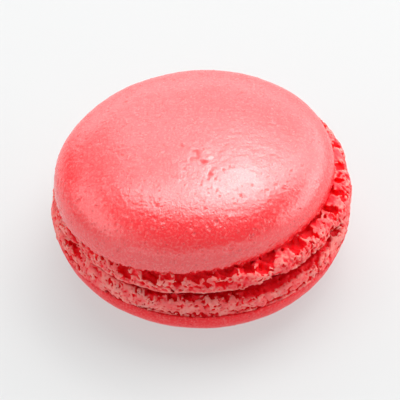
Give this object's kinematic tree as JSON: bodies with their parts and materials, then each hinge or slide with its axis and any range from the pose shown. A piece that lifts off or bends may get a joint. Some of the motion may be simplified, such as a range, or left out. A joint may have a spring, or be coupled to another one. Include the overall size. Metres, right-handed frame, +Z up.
{
  "type": "french macaron",
  "caption": "Round almond sandwich biscuit: smooth domed shells with ruffled, porous feet on a thin layer of jam.",
  "frame": {"origin": "middle of the flat spot under the lower shell, on the surface that the macaron rests on", "axes": "+Z up through both shells, -Y towards the front, +X to its right as seen from the front"},
  "size_m": [0.0452, 0.0458, 0.0247],
  "materials": {
    "shell": "baked almond meringue: a satin skin on the domes, an open matt crumb in the feet",
    "jam": "glossy red fruit jam"
  },
  "bodies": {
    "root": {"lower_shell": "shell", "upper_shell": "shell", "filling": "jam"}
  },
  "joints": []
}
